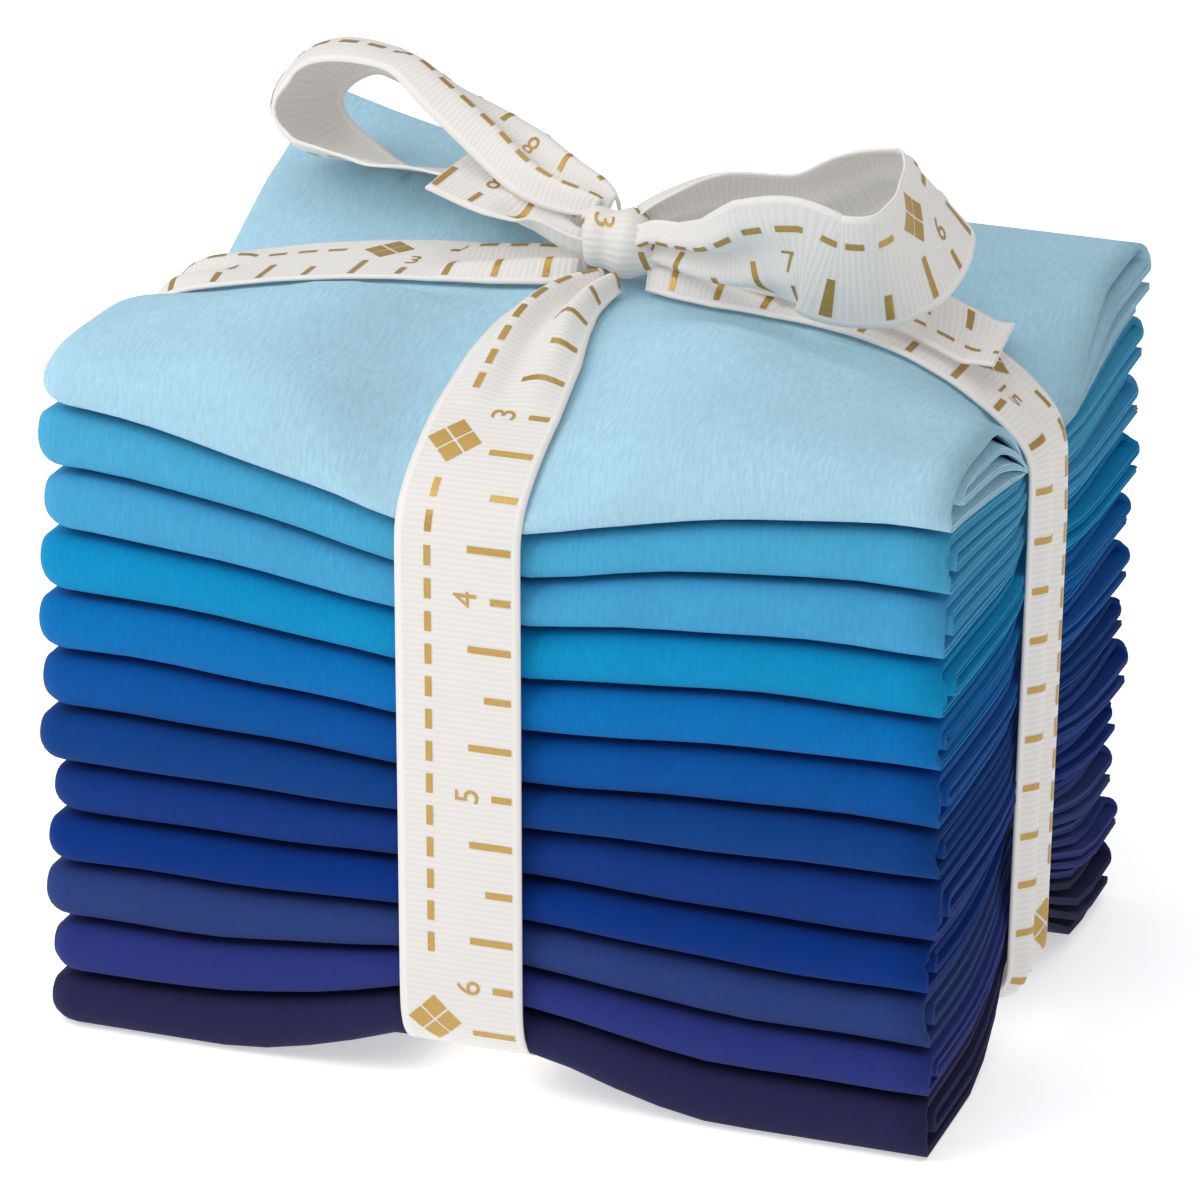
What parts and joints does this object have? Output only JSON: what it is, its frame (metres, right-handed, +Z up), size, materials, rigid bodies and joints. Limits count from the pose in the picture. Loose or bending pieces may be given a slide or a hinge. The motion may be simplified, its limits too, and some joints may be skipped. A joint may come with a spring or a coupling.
{
  "type": "fat quarter fabric bundle",
  "caption": "Stack of folded cotton quilting cloths in graded blues, dark below and pale on top, tied crosswise with a white ruler-print ribbon and a bow.",
  "frame": {"origin": "middle of the bounding box in plan, on the surface that the bundle stands on", "axes": "+X along the front from its soft folded left end to its crisp right end, +Y from the front fold to the back, +Z up"},
  "size_m": [0.1202, 0.0936, 0.1136],
  "materials": {
    "navy": "matte plain-weave cotton",
    "indigo": "matte plain-weave cotton",
    "slate": "matte plain-weave cotton",
    "royal": "matte plain-weave cotton",
    "cobalt": "matte plain-weave cotton",
    "denim": "matte plain-weave cotton",
    "azure": "matte plain-weave cotton",
    "cerulean": "matte plain-weave cotton",
    "turquoise": "matte plain-weave cotton",
    "sky": "matte plain-weave cotton",
    "aqua": "matte plain-weave cotton",
    "ice": "matte plain-weave cotton",
    "ribbon": "white ribbed ribbon with a gold foil ruler print"
  },
  "bodies": {
    "root": {"cloth_01_navy": "navy", "cloth_02_indigo": "indigo", "cloth_03_slate": "slate", "cloth_04_royal": "royal", "cloth_05_cobalt": "cobalt", "cloth_06_denim": "denim", "cloth_07_azure": "azure", "cloth_08_cerulean": "cerulean", "cloth_09_turquoise": "turquoise", "cloth_10_sky": "sky", "cloth_11_aqua": "aqua", "cloth_12_ice": "ice", "ribbon_front_belt": "ribbon", "ribbon_end_belt": "ribbon", "ribbon_knot": "ribbon", "ribbon_left_loop": "ribbon", "ribbon_right_loop": "ribbon", "ribbon_left_tail": "ribbon", "ribbon_right_tail": "ribbon"}
  },
  "joints": []
}
